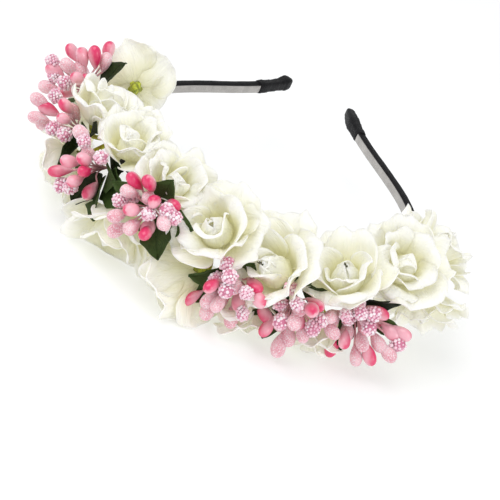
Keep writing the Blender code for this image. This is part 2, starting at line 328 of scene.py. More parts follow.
def carried(outline, station, swell=1.0):
    """A closed outline carried along the hoop: at each station its first coordinate goes outwards and
    its second up, both times the swell there. The uv is the way round and the way along, in mm."""
    point, _, outward = hoop_at(station)
    size = (swell * np.ones_like(station))[:, None]
    ring = np.concatenate([outline, outline[:1]])
    out, rise = size * ring[:, 0], size * ring[:, 1]
    grid = point[:, None] + out[..., None] * outward[:, None] + rise[..., None] * UP
    gaps = np.linalg.norm(np.diff(ring, axis=0), axis=1)
    girth = np.concatenate([[0.0], np.cumsum(gaps)])
    flat = np.stack(np.broadcast_arrays(girth, station[:, None]), -1)
    return grid[None], flat[None], np.zeros(grid.shape[:2])[None]


def rounded_corner(corner, place, start):
    """A quarter circle of that radius, inside the corner at that place, from an angle in quarter turns."""
    turn = (start + np.linspace(0, 1, 5)) * np.pi / 2
    middle = np.array(place) - corner * np.sign(place)
    return middle + corner * np.stack([np.cos(turn), np.sin(turn)], -1)


def channel(outer, low_lip, high_lip, width, corner, wall):
    """The outline of a ribbon folded over a strip: round outer corners, straight lips, an even wall."""
    half = width / 2
    low, high = rounded_corner(corner, (outer, -half), 3), rounded_corner(corner, (outer, half), 0)
    floor = outer - wall
    inside = [(high_lip, half - wall), (floor, half - wall), (floor, wall - half), (low_lip, wall - half)]
    return np.concatenate([[(low_lip, -half)], low, high, [(high_lip, half)], inside])


def cloth_place(flow):
    """The piece's own map, whose two numbers run across it and along it."""
    return flow.node("UVMap", {"uv_map": "cloth_map"})


def satin_finish():
    """Black satin: a fine weave across a soft sheen, with faint puckers where it is pulled tight."""
    constants = {"Sheen Weight": 0.015, "Sheen Roughness": 0.35, "Specular IOR Level": 0.12}
    material, shader, flow = new_finish("black_satin", constants)
    cloth = cloth_place(flow)
    across, along = cloth.part(0), cloth.part(1)
    threads = flow.math("SINE", across * 38.0) * 0.5 + flow.math("SINE", along * 52.0) * 0.5
    pucker = cloth.noise((0.9, 0.35, 1.0), 3.0)
    feed(shader, {
        "Base Color": pucker.eased(0.35, 0.75).mixed((0.003, 0.003, 0.004, 1), (0.010, 0.010, 0.012, 1)),
        "Roughness": pucker * 0.25 + 0.30,
        "Normal": (threads * 0.08 + pucker).bumped(0.00035, 0.6),
    })
    return material


black_satin = satin_finish()


def arm_halves(name, outline, material, past, swell=None):
    """The left and right halves of a strip that covers the hoop out to the station past."""
    for side, arm in ((-1, "left_arm"), (1, "right_arm")):
        station = np.linspace(0.0, side * past, HALF_STEPS)
        scale = 1.0 if swell is None else swell(station)
        piece = new_piece(f"{arm[:-4]}_half_{name}", [carried(outline, station, scale)], material)
        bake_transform(piece)
        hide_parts(f"crown_{name}", f"{arm}_{name}")


def hand_pulled(station):
    """The ribbon's size, which varies by a hundredth along the hoop because it is pulled tight by hand."""
    return 1 + 0.012 * np.sin(station * 0.31 + 0.6) + 0.008 * np.sin(station * 0.83)


LINING_DEPTH = 0.8
lining_face = LINING_DEPTH - BAND_DEPTH / 2
# The upper lip is folded over the lining's edge too, as far as its face; the lower one stops behind it.
ribbon_outline = channel(
    BAND_DEPTH / 2, lining_face, -BAND_DEPTH / 2, BAND_WIDTH, RIBBON_CORNER, RIBBON_WALL)
arm_halves("ribbon", ribbon_outline, black_satin, RIBBON_END, hand_pulled)

# ---------------------------------------------------------------------------------------------
# The lining: a strip of warm grey felt glued along the hoop's inner side, from tip to tip, so
# that the steel doesn't slip on the hair. Its face is a little domed and its edges are cut.

LINING_DOME = 0.15


def felt_finish():
    """Grey felt: matt, mottled by its fibres, with a short fuzz that catches the light."""
    constants = {"Sheen Weight": 0.5, "Sheen Roughness": 0.6, "Roughness": 0.95}
    material, shader, flow = new_finish("grey_felt", constants)
    place = object_place(flow)
    fibre, cloud = place.noise((2600.0, 2600.0, 4200.0), 3.0, 0.7), place.noise(260.0, 2.0)
    shade = fibre * 0.6 + cloud * 0.4
    feed(shader, {
        "Base Color": shade.eased(0.3, 0.7).mixed((0.30, 0.285, 0.275, 1), (0.50, 0.48, 0.465, 1)),
        "Normal": fibre.bumped(0.0002, 0.7),
    })
    return material


def domed_strip(outer, inner, width, dome, steps=9):
    """The outline of a flat strip whose inner face is raised in the middle by the dome."""
    rise = np.linspace(width / 2, -width / 2, steps)
    face = inner - dome * (1 - (2 * rise / width) ** 2)
    return np.concatenate([[(outer, -width / 2), (outer, width / 2)], np.stack([face, rise], -1)])


lining_outline = domed_strip(lining_face, -BAND_DEPTH / 2, BAND_WIDTH - RIBBON_WALL, LINING_DOME)
lining_outline[:, 1] -= RIBBON_WALL / 2
arm_halves("lining", lining_outline, felt_finish(), RIBBON_END)

# ---------------------------------------------------------------------------------------------
# The spring strip: tempered steel, hidden inside the ribbon from tip to tip. Its solid has the
# right shape already and gets the finish of cold-rolled strip.


def steel_finish():
    """Cold-rolled steel with fine lengthwise scratches."""
    material, shader, flow = new_finish("spring_steel", {"Metallic": 1.0})
    scratch = object_place(flow).noise((900.0, 900.0, 9000.0), 2.0)
    feed(shader, {
        "Base Color": scratch.mixed((0.40, 0.41, 0.43, 1), (0.60, 0.61, 0.63, 1)),
        "Roughness": scratch * 0.25 + 0.22,
    })
    return material


spring_steel = steel_finish()
for node in ("crown_spring_strip", "left_arm_spring_strip", "right_arm_spring_strip"):
    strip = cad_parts[node]
    strip.data.materials.clear()
    strip.data.materials.append(spring_steel)

# ---------------------------------------------------------------------------------------------
# The tip wraps: the last turns of the satin, wound round each end of the hoop on the slant and
# folded over its nose, which leaves a plump soft tip with the edge of each turn showing.

WRAP_START = 165.5  # station at which it starts; it ends with the hoop
WRAP_DEPTH, WRAP_WIDTH = 4.1, 4.6
WRAP_CORNER = 1.2
WRAP_NOSE = 3.0  # the length over which its end is rounded off
WRAP_TURNS = 5.5
WRAP_STEPS = 120
WRAP_EDGE = 0.16  # height of one turn's edge above the turn before it
WRAP_HOOK = 1.0  # how far the nose is bent outwards
WRAP_LEAST = 0.92  # size of the wrap where no lump swells it
# The lumps of each side's wrap: how far along it they are, how long, and how much they swell it.
WRAP_LUMPS = {
    -1: ((0.10, 0.12, 0.10), (0.80, 0.14, 0.22)),
    1: ((0.08, 0.10, 0.06), (0.48, 0.24, 0.20), (1.0, 0.20, -0.14)),
}


def wound_tip(side):
    """A rounded oblong carried along the tip. Its lumps are bell curves, its nose is rounded off and
    bent outwards with the square of the way along, and a saw tooth on the slant lifts the edge of
    each turn."""
    past = np.linspace(0.0, 1.0, WRAP_STEPS)
    travel = past * (HOOP_LENGTH / 2 - WRAP_START)
    half_d, half_w = WRAP_DEPTH / 2, WRAP_WIDTH / 2
    corners = ((half_d, half_w), (-half_d, half_w), (-half_d, -half_w), (half_d, -half_w))
    outline = np.concatenate([rounded_corner(WRAP_CORNER, place, k) for k, place in enumerate(corners)])
    from_nose = (HOOP_LENGTH / 2 - WRAP_START) - travel
    lumps = [much * np.exp(-(((past - place) / long) ** 2)) for place, long, much in WRAP_LUMPS[side]]
    plump = WRAP_LEAST + sum(lumps)
    nose = np.sqrt(np.clip(1 - (1 - np.clip(from_nose / WRAP_NOSE, 0, 1)) ** 2, 0, 1))
    grid, flat, tint_and_shade = carried(outline, side * (WRAP_START + travel), plump * nose)
    point, _, outward = hoop_at(side * (WRAP_START + travel))
    around = np.linspace(0, 1, grid.shape[2])
    tooth = (WRAP_TURNS * past[:, None] + around + 0.15 * np.sin(9 * past)[:, None]) % 1.0
    lift = 1 + WRAP_EDGE / half_w * (tooth - 0.5) * nose[:, None]
    grid = point[:, None] + (grid[0] - point[:, None]) * lift[..., None]
    grid = grid + (WRAP_HOOK * past**2)[:, None, None] * outward[:, None]
    return grid[None], flat, tint_and_shade


for side, arm in ((-1, "left_arm"), (1, "right_arm")):
    wrap = new_piece(f"{arm}_wound_tip", [wound_tip(side)], black_satin)
    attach(wrap, arm)
    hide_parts(f"{arm}_tip_wrap")

# ---------------------------------------------------------------------------------------------
# The bunches: small pink buds on fine threads, gathered and glued to the hoop. Some are glossy
# and blushed hot pink on one side, some are frosted, and some are rolled in sugar grains.

BUNCH_RADIUS = 12.0
# Each bunch: its place as a share of FLEX_STATION, its turn up from level and its distance, how
# many short buds fill it, then the buds that show. A bud has its kind, its lean from the bunch's
# axis, its turn round that axis from straight up towards the right arm, in degrees, and its
# distance from the gathered foot.
BUNCHES = (
    (-0.69, 24, 21, 4, (
        ("glossy", 30, 0, 15), ("hot", 46, 5, 15), ("glossy", 62, -25, 16), ("sugar", 10, -130, 19),
        ("frosted", 12, 40, 14.5), ("glossy", 14, -160, 16), ("sugar", 18, -178, 15.5),
        ("sugar", 35, 90, 15), ("glossy", 46, 65, 15), ("frosted", 32, 172, 16), ("frosted", 60, -5, 13),
        ("glossy", 25, -60, 17),
    )),
    (-0.54, -2, 20, 1, (
        ("sugar", 36, -45, 17), ("frosted", 24, -58, 20), ("glossy", 38, 15, 15), ("hot", 22, -65, 16),
        ("frosted", 14, -100, 18), ("glossy", 36, 45, 15), ("sugar", 18, 75, 15), ("sugar", 40, 75, 15),
        ("frosted", 30, -120, 16),
    )),
    (-0.37, 1, 21, 2, (
        ("sugar", 34, -10, 15), ("sugar", 46, 42, 15), ("glossy", 26, 38, 15), ("glossy", 5, -20, 15),
        ("hot", 33, -135, 15.5), ("hot", 26, 70, 14.5), ("glossy", 20, 118, 15), ("sugar", 40, -160, 16),
        ("sugar", 28, 162, 15), ("frosted", 40, -25, 15.5),
    )),
    (-0.17, 14, 22, 4, (
        ("hot", 33, -44, 15), ("hot", 32, -8, 15), ("glossy", 23, 38, 15), ("glossy", 5, -140, 15),
        ("frosted", 24, -66, 14.5), ("frosted", 27, -140, 16), ("frosted", 36, 86, 14.5),
        ("frosted", 60, -154, 14.5), ("frosted", 24, 170, 14.5), ("sugar", 30, -105, 14.5),
        ("sugar", 16, 82, 14.5), ("sugar", 36, 60, 15), ("sugar", 46, 72, 15), ("hot", 30, 130, 15),
    )),
    (0.07, -18, 21, 6, (
        ("hot", 54, -134, 17), ("hot", 27, -67, 15), ("sugar", 34, -20, 15), ("sugar", 17, -26, 15),
        ("sugar", 26, 35, 15), ("sugar", 28, 126, 15), ("frosted", 14, -138, 14.5),
        ("frosted", 27, -128, 14.5), ("frosted", 44, -160, 16), ("frosted", 42, 160, 15),
        ("glossy", 36, 66, 15), ("hot", 59, 115, 15.5),
    )),
    (0.21, -14, 22, 7, (
        ("hot", 42, -145, 15), ("frosted", 44, 180, 18.5), ("sugar", 28, -22, 15),
        ("sugar", 18, -110, 15), ("sugar", 26, 104, 15), ("sugar", 36, 88, 14), ("glossy", 26, 18, 15),
        ("frosted", 4, -64, 14.5), ("frosted", 40, 168, 15), ("frosted", 52, 103, 17.5),
        ("frosted", 30, 140, 14.5),
    )),
    (0.37, -13, 22, 8, (
        ("sugar", 42, -66, 15), ("sugar", 36, -40, 15), ("sugar", 30, -12, 15), ("sugar", 12, -20, 15),
        ("sugar", 36, 97, 21), ("frosted", 53, -87, 14.5), ("glossy", 28, -134, 15),
        ("frosted", 24, 160, 14.5), ("frosted", 30, 121, 16.5), ("glossy", 38, 91, 16.5),
        ("glossy", 41, 84, 19.5), ("frosted", 31, 116, 21), ("frosted", 35, 170, 18.5),
        ("hot", 52, -162, 16), ("hot", 30, 148, 18.5),
    )),
)
# The half width and half length of each kind of bud.
BUD_SIZES = {"glossy": (2.0, 3.6), "hot": (1.95, 4.1), "frosted": (2.15, 3.8), "sugar": (1.9, 2.3)}
HOT_BLUSH = (0.15, 0.6)  # the least and the most blush of a hot pink bud
COOL_BLUSH = (-0.3, 0.15)  # and of the others
GRAIN_RADIUS = 0.55
GRAINS = 54
BUD_RINGS, BUD_SIDES = 15, 18
BUD_LUMP = 0.07  # how far from round a bud is, as a share of its width
# Shorter buds fill each bunch behind those that show: their kinds in turn, and their reach.
FILLERS = ("frosted", "glossy", "sugar", "hot", "frosted", "sugar", "glossy", "frosted")
FILLER_REACH = 10.5
FILLER_SPREAD = 52.0  # lean of the outermost
GOLDEN_ANGLE = 137.5
THREAD_RADIUS = 0.28
THREAD_BOW = 6.0  # how far the middle of a thread is drawn along the bunch's axis
chance = np.random.default_rng(7)


def bunch_axes(share, turn, distance):
    """The gathered foot of a bunch, and its axes: towards the right arm, up, and the way it grows."""
    point, _, outward = hoop_at(share * FLEX_STATION)
    turn = math.radians(turn)
    grows = math.cos(turn) * outward + math.sin(turn) * UP
    rise = UP - grows * grows[2]
    rise /= np.linalg.norm(rise)
    return point + grows * (distance - BUNCH_RADIUS), np.cross(rise, grows), rise, grows


def square_to(ways):
    """Two unit vectors square to each of some unit vectors, and to each other."""
    helper = np.where(np.abs(ways[:, 2:]) < 0.9, UP, np.array([1.0, 0.0, 0.0]))
    first = np.cross(ways, helper)
    first /= np.linalg.norm(first, axis=1, keepdims=True)
    return first, np.cross(ways, first)


def turned_buds(heads, ways, half_widths, half_lengths, blush):
    """Teardrops about the ways they grow: each is a ball whose lower half is drawn out to its thread,
    made lumpy by two waves round it. The tint is the blush: it grows towards the tip and one side,
    and by each bud's own share."""
    around, along = np.meshgrid(np.linspace(0, 2 * np.pi, BUD_SIDES + 1), np.linspace(0, 1, BUD_RINGS))
    polar = np.pi * along
    drawn_out = np.where(along < 0.5, along * 2, 1) ** 0.35
    width = np.sin(polar) * (1 + 0.28 * np.cos(np.pi * (1 - along))) * drawn_out
    first, second = square_to(ways)
    spin = chance.uniform(0, 2 * np.pi, len(heads))[:, None, None]
    side = np.cos(around + spin)[..., None] * first[:, None, None]
    side = side + np.sin(around + spin)[..., None] * second[:, None, None]
    lump = np.sin(2 * around + 3 * spin) + 0.6 * np.sin(3 * around + 7 * along + 5 * spin)
    lump = 1 + BUD_LUMP * lump * np.sin(polar)
    depth = (half_lengths[:, None, None] * np.cos(polar))[..., None]
    points = heads[:, None, None] - depth * ways[:, None, None]
    points = points + (half_widths[:, None, None] * width * lump)[..., None] * side
    flush = np.clip(0.35 * np.cos(around) + 0.75 * (along - 0.4) + blush[:, None, None], 0, 1)
    flat = np.broadcast_to(np.stack([around / (2 * np.pi), along], -1), points.shape[:3] + (2,))
    return points, flat, np.broadcast_to(flush, points.shape[:3])


def scattered(count):
    """Unit vectors spread evenly over a ball, on a spiral from pole to pole."""
    index = np.arange(count) + 0.5
    rise = 1 - 2 * index / count
    angle = np.pi * (1 + 5**0.5) * index
    return np.stack([np.sqrt(1 - rise**2) * np.cos(angle), np.sqrt(1 - rise**2) * np.sin(angle), rise], -1)


def sugar_grains(heads, ways, half_widths, half_lengths):
    """Small balls spread over each bud's surface, each pushed in or out a little."""
    spots = scattered(GRAINS)
    first, second = square_to(ways)
    stretch = np.stack([half_widths, half_widths, half_lengths], -1)[:, None] * spots
    stretch = stretch * (1 + 0.07 * chance.normal(0, 1, stretch.shape[:2]))[..., None]
    frame_of_bud = np.stack([first, second, ways], 1)
    centres = heads[:, None] + np.einsum("nga,nab->ngb", stretch, frame_of_bud)
    centres = centres.reshape(-1, 3)
    radius = GRAIN_RADIUS * chance.uniform(0.72, 1.22, len(centres))
    around, down = np.meshgrid(np.linspace(0, 2 * np.pi, 8), np.linspace(0, np.pi, 6))
    ball = np.stack([np.sin(down) * np.cos(around), np.sin(down) * np.sin(around), np.cos(down)], -1)
    points = centres[:, None, None] + radius[:, None, None, None] * ball
    tint_and_shade = np.broadcast_to(chance.uniform(0.5, 1.0, len(centres))[:, None, None], points.shape[:3])
    return points, np.zeros(points.shape[:3] + (2,)), tint_and_shade


def threads(foot, heads, ways, half_lengths, grows):
    """A fine tube from the gathered foot to the base of each bud, on a quadratic curve bowed out along
    the bunch's axis, and thicker where it meets the bud."""
    ends = heads - ways * (half_lengths * 0.92)[:, None]
    along = np.linspace(0, 1, 9)[:, None]
    bow = foot + grows * THREAD_BOW + ways
    line = ((1 - along) ** 2)[None] * foot + (2 * along * (1 - along))[None] * bow[:, None]
    line = line + (along**2)[None] * ends[:, None]
    run = (ends - foot) / np.linalg.norm(ends - foot, axis=1, keepdims=True)
    first, second = square_to(run)
    around = np.linspace(0, 2 * np.pi, 8)
    ring = np.cos(around)[:, None] * first[:, None] + np.sin(around)[:, None] * second[:, None]
    points = line[:, :, None] + THREAD_RADIUS * (1 + 0.6 * along[None, :, None] ** 4) * ring[:, None]
    # The number each point carries runs from 0 at the foot to 1 at the bud: the thread's painted shade.
    return points, np.zeros(points.shape[:3] + (2,)), np.broadcast_to(along[None], points.shape[:3])


def piece_tint_and_shade(flow):
    """The number that each point of a piece carries: a bud's blush, a grain's pink, a leaf's green,
    a thread's painted shade, or how yellow-green and painted-shaded a petal round's foot is.
    """
    return flow.node("Attribute", {"attribute_name": "tint_and_shade"}, None, "Fac")


def light_inside(weight, reach, depth):
    """The constants that let light into a piece: how much of it, how far each colour goes as a share
    of the depth, and the depth in metres."""
    return {"Subsurface Weight": weight, "Subsurface Radius": reach, "Subsurface Scale": depth}


def glossy_finish():
    """Lacquered buds: pale pink flushed to hot pink by the blush, under a clear glossy coat."""
    constants = {"Roughness": 0.28, "Coat Weight": 0.6, "Coat Roughness": 0.08}
    constants |= light_inside(0.15, (1.0, 0.6, 0.7), 0.002)
    material, shader, flow = new_finish("lacquered_bud", constants)
    tint_and_shade = piece_tint_and_shade(flow)
    cloud = object_place(flow).noise(420.0, 2.0)
    blush = (tint_and_shade + (cloud - 0.5) * 0.35).eased(0.08, 0.62)
    feed(shader, {
        "Base Color": blush.mixed((0.88, 0.44, 0.52, 1), (0.74, 0.03, 0.14, 1)),
        "Normal": cloud.bumped(0.0002, 0.3),
    })
    return material


def frosted_finish():
    """Frosted buds: a pale pink body under a fine white dust."""
    constants = {"Roughness": 0.75, "Sheen Weight": 0.3} | light_inside(0.15, (1.0, 0.4, 0.4), 0.002)
    material, shader, flow = new_finish("frosted_bud", constants)
    place = object_place(flow)
    dust, cloud = place.noise(2600.0, 2.0, 0.6), place.noise(300.0, 2.0)
    pink = cloud.eased(0.3, 0.7).mixed((0.80, 0.34, 0.42, 1), (0.95, 0.60, 0.66, 1))
    feed(shader, {
        "Base Color": dust.eased(0.48, 0.62).mixed(pink, (0.98, 0.82, 0.85, 1)),
        "Normal": (dust + cloud * 0.8).bumped(0.0004, 0.8),
    })
    return material


def core_finish():
    """The body of a sugared bud, deep pink between the grains: partly its own colour, partly painted shade
    in the gaps.
    """
    material, shader, flow = new_finish("sugared_core", {"Roughness": 0.6})
    cloud = object_place(flow).noise(500.0, 2.0)
    feed(shader, {"Base Color": cloud.mixed((0.52, 0.12, 0.24, 1), (0.74, 0.28, 0.40, 1))})
    return material


def grain_finish():
    """Sugar grains: glassy beads, from nearly white to pink."""
    constants = {"Roughness": 0.25, "Coat Weight": 0.3} | light_inside(0.2, (1.0, 0.5, 0.5), 0.001)
    material, shader, flow = new_finish("sugar_grain", constants)
    tint_and_shade = piece_tint_and_shade(flow)
    feed(shader, {"Base Color": tint_and_shade.eased(0.5, 1.0).mixed((0.90, 0.52, 0.64, 1), (0.98, 0.86, 0.90, 1))})
    return material


def thread_finish():
    """Waxed thread, dull rose, painted nearly black towards the gathered foot as shade deep inside the
    bunch.
    """
    material, shader, flow = new_finish("rose_thread", {"Roughness": 0.6})
    tint_and_shade = piece_tint_and_shade(flow)
    # Painted shade: dark at the gathered foot, dull rose where the thread meets the bud.
    feed(shader, {"Base Color": tint_and_shade.mixed((0.22, 0.07, 0.08, 1), (0.75, 0.40, 0.42, 1))})
    return material


# The pieces that hold a bunch's buds: the kinds in each, and its finish.
BUD_PIECES = (
    ("glossy", ("glossy", "hot"), glossy_finish()),
    ("frosted", ("frosted",), frosted_finish()),
    ("sugared", ("sugar",), core_finish()),
)
sugar_grain, rose_thread = grain_finish(), thread_finish()


def bud_bunch(number, share, turn, distance, fillers, buds):
    """All of one bunch's buds and threads, one piece for each finish."""
    foot, side, rise, grows = bunch_axes(share, turn, distance)
    spread = FILLER_SPREAD * np.sqrt((np.arange(fillers) + 0.5) / fillers)
    buds = buds + tuple((FILLERS[k], spread[k], GOLDEN_ANGLE * k, FILLER_REACH) for k in range(fillers))
    kinds = np.array([bud[0] for bud in buds])
    lean, spin = np.radians([[bud[1] for bud in buds], [bud[2] for bud in buds]])
    ways = np.cos(lean)[:, None] * grows + np.sin(lean)[:, None] * (
        np.cos(spin)[:, None] * rise + np.sin(spin)[:, None] * side)
    heads = foot + ways * np.array([float(bud[3]) for bud in buds])[:, None]
    sizes = np.array([BUD_SIZES[kind] for kind in kinds]) * chance.uniform(0.92, 1.1, (len(buds), 1))
    hot, cool = chance.uniform(*HOT_BLUSH, len(buds)), chance.uniform(*COOL_BLUSH, len(buds))
    blush = np.where(kinds == "hot", hot, cool)
    made = []
    name = f"bunch_{number}"
    for label, wanted, material in BUD_PIECES:
        chosen = np.isin(kinds, wanted)
        sheet = turned_buds(heads[chosen], ways[chosen], sizes[chosen, 0], sizes[chosen, 1], blush[chosen])
        made.append(new_piece(f"{name}_{label}_buds", [sheet], material))
    sugared = kinds == "sugar"
    grains = sugar_grains(heads[sugared], ways[sugared], sizes[sugared, 0], sizes[sugared, 1])
    made.append(new_piece(f"{name}_sugar_grains", [grains], sugar_grain))
    stalks = threads(foot, heads, ways, sizes[:, 1], grows)
    made.append(new_piece(f"{name}_threads", [stalks], rose_thread))
    for piece in made:
        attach(piece, "crown")
        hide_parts(f"{name}_berries")


for number, row in enumerate(BUNCHES, 1):
    bud_bunch(number, *row)

# ---------------------------------------------------------------------------------------------
# The leaves: stiff dark green cloth, stamped out with angular lobes and a pressed midrib. Three
# to five stand behind and between the buds of each bunch, wired in with its threads.

# For each bunch its leaves: lean from the bunch's axis, turn round it, length, half width and
# twist about the midrib.
LEAVES = (
    ((74, 7, 15, 5.0, 20), (80, 60, 12, 4.0, 0), (70, -150, 14, 5, 30)),
    ((48, 130, 16, 6.5, 20), (70, 61, 15, 6.5, -20), (72, 100, 17, 7, 0), (62, 80, 15, 6, 10)),
    ((58, 136, 16, 6.0, 10), (50, 176, 14, 6, -10), (66, 62, 10, 5, 0), (72, 96, 17, 7, 0),
     (56, 75, 14, 6, 10)),
    ((45, 16, 13, 5.5, 10), (66, 83, 13, 5.5, 15), (56, 135, 15, 6.0, -10), (52, -89, 14, 4.0, 10)),
    ((48, -99, 14, 5.0, 0), (52, -141, 16, 4.0, 20), (58, 20, 7, 4, 0)),
    ((60, -20, 7, 5.5, 10), (68, 70, 10, 5, 0), (60, -130, 14, 4, -20), (52, -165, 16, 4, 0)),
    ((55, 60, 14, 4.5, 10), (40, 93, 20, 4.0, 0), (40, -170, 15, 4, 10)),
)
LEAF_WALL = 0.3
LEAF_START = 3.0
LEAF_DROOP = 26  # degrees that a leaf bends back by its tip
LEAF_FOLD = 0.32  # how steeply its halves rise from the midrib
LEAF_ROWS, LEAF_COLUMNS = 31, 17
# The outline: shares of the leaf's length, and there its width as a share of the widest.
LOBES = (
    (0, 0.05), (0.16, 0.55), (0.34, 0.96), (0.44, 0.80), (0.62, 0.86), (0.72, 0.60), (0.88, 0.34),
    (1, 0.02),
)


def add_wall(piece, thickness):
    """Gives a sheet its thickness, half to each side."""
    wall = piece.modifiers.new("cloth", "SOLIDIFY")
    wall.thickness, wall.offset = thickness * MM, 0.0


def leaf_sheet(foot, side, rise, grows, row):
    """A leaf over across, -1 to 1, and along, 0 to 1: its midrib leaves the foot on its lean and
    droops back, its outline is a few straight-sided lobes, each half rises from the midrib, and a
    low wave runs over it."""
    lean, spin, length, half_width, twist = row
    across, along = np.meshgrid(np.linspace(-1, 1, LEAF_COLUMNS), np.linspace(0, 1, LEAF_ROWS))
    places, widths = np.array(LOBES).T
    width = half_width * np.interp(along, places, widths)
    spin, twist = math.radians(spin), math.radians(twist)
    out = math.cos(spin) * rise + math.sin(spin) * side
    square = np.cross(grows, out)
    angle = np.radians(lean + LEAF_DROOP * along**1.5)
    gap = length / (LEAF_ROWS - 1)
    forward = np.concatenate([[0], np.cumsum(np.cos(angle[1:, 0]) * gap)])[:, None]
    outward = np.concatenate([[0], np.cumsum(np.sin(angle[1:, 0]) * gap)])[:, None]
    normal = np.cos(angle)[..., None] * out - np.sin(angle)[..., None] * grows
    fold = LEAF_FOLD * np.abs(across) * width + 0.35 * np.sin(9 * along + 3 * across + spin) * along
    sway = math.cos(twist) * square - math.sin(twist) * normal
    lift = math.cos(twist) * normal + math.sin(twist) * square
    start = foot + LEAF_START * (math.cos(math.radians(lean)) * grows + math.sin(math.radians(lean)) * out)
    points = start + forward[..., None] * grows + outward[..., None] * out
    points = points + (across * width)[..., None] * sway - fold[..., None] * lift
    tint_and_shade = np.full(across.shape, abs(math.sin(spin * 3)))
    return points[None], np.stack([across, along], -1)[None], tint_and_shade[None]


def leaf_finish():
    """Green leaf cloth: dark, a little waxy, with a pressed midrib and side veins."""
    constants = {"Roughness": 0.6, "Specular IOR Level": 0.2}
    material, shader, flow = new_finish("leaf_green", constants)
    cloth = cloth_place(flow)
    tint_and_shade = piece_tint_and_shade(flow)
    across = flow.math("ABSOLUTE", cloth.part(0))
    ribs = flow.math("SINE", (cloth.part(1) * 9.0 - across * 3.0) * 6.28) ** 2.0
    midrib = 1 - across.eased(0.0, 0.09)
    mottle = object_place(flow).noise(900.0, 3.0)
    green = (tint_and_shade * 0.6 + mottle * 0.5).eased(0.2, 0.9)
    feed(shader, {
        "Base Color": green.mixed((0.010, 0.016, 0.005, 1), (0.050, 0.090, 0.020, 1)),
        "Normal": (ribs * 0.25 - midrib * 0.8 + mottle * 0.6).bumped(0.0004, 0.7),
    })
    return material


leaf_green = leaf_finish()
for number, (row, leaves) in enumerate(zip(BUNCHES, LEAVES), 1):
    foot_axes = bunch_axes(*row[:3])
    sheets = [leaf_sheet(*foot_axes, leaf) for leaf in leaves]
    foliage = new_piece(f"bunch_{number}_foliage", sheets, leaf_green, closed=False)
    add_wall(foliage, LEAF_WALL)
    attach(foliage, "crown")
    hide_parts(f"bunch_{number}_leaves")

# ---------------------------------------------------------------------------------------------
# The roses: each has a rolled heart and three rounds of ivory petals, cut from a thin cloth,
# cupped and curled over a hot ball while damp, and glued round the heart one over another.

ROSE_RADIUS = 15.0
# How each rose sits: its place on the hoop as a share of FLEX_STATION, its turn up from level and
# its distance from the hoop; then the way it faces, up from level and towards the right arm; its
# spin, its size, and how far open it is past the usual, all angles in degrees.
ROSES = (
    (-0.79, 100, 9, -45, -69, 0, 0.86, -8),
    (-0.54, 55, 12, 100, -5, 20, 1.0, -14),
    (-0.355, 59, 13, 66, 6, 50, 0.86, -4),
    (-0.17, 56, 13, 62, 20, 10, 0.88, -8),
    (-0.02, 32, 13, 39, -17, 30, 0.98, 4),
    (0.135, 13, 13, 38, -48, 15, 1.08, 4),
    (0.315, 30, 13.5, 73, -32, 40, 1.0, 2),
    (0.50, 45, 14, 64, -24, 70, 1.0, -13),
    (0.69, 54, 13, 74, 14, 0, 1.0, -2),
    (0.88, -42, 15, -7, -10, 35, 0.90, 6),
    (-0.80, -45, 17, -32, 15, 25, 0.85, 4),
    (-0.53, -45, 19, -45, 0, 55, 0.95, 4),
    (-0.26, -55, 18, -34, 21, 60, 1.10, -4),
    (-0.05, -60, 17, -97, -41, 5, 1.05, 0),
    (0.13, -62, 18, -62, 10, 45, 0.95, 4),
    (0.32, -58, 19, -60, 5, 10, 0.95, 4),
    (0.60, -16, 17, -55, -23, 30, 0.95, 0),
)
# The rounds of petals, from the inside out: how many; their foot from the axis and above the
# calyx; length and half width; tilt from the axis at foot and tip; how much they wrap round the
# axis, 1 being wholly; how far the rim rolls back; and the height of the waves in the rim.
ROUNDS = (
    (3, 2.2, 1.0, 14.0, 7.8, 2, -54, 1.00, 0, 0.06),
    (4, 2.0, 0.5, 15.5, 9.6, 22, 26, 0.85, 50, 0.8),
    (5, 1.8, 0.0, 17.0, 11.5, 46, 62, 0.50, 45, 1.3),
)
PETAL_FLARE = 78.0  # how much further a petal is tilted where it leaves the foot
FLARE_SHARE = 0.2  # the share of its length over which it stands up from there
PETAL_WALL = 0.32
PETAL_ROWS, PETAL_COLUMNS = 23, 31
CREASE_DEPTH = 1.3  # depth of the one sharp fold that runs up each petal
ROUND_NAMES = ("inner", "middle", "outer")
LOOSENESS = {"inner": 3, "middle": 7, "outer": 10}  # degrees by which a round's petals differ
FOOT_TINT_AND_SHADE = {"inner": 1.0, "middle": 0.8, "outer": 0.45}  # how yellow-green and dark each round's foot is: own colour and painted shade
FOOT_DEPTH = 0.42  # the petals' foot below the middle of the bloom, as a share of ROSE_RADIUS
HEART_HEIGHT, HEART_RADIUS, HEART_TURNS = 13.4, 1.6, 2.0
OPEN_HEARTS = (6, 7)  # the roses whose hearts stand up and show their dark tips, a painted shadow
FOLDED_HEIGHT = 0.8  # how high the other hearts stand, folded in, as a share
FOLDED_TIP = 0.75  # and how much of the finish from foot to tip they show, so that they stop short of the painted shadow at the tip and stay pale
REST_HEIGHT = 1.8  # below this a petal is pressed towards the floor
FLOOR_GAP = 0.3  # and it comes no nearer than this


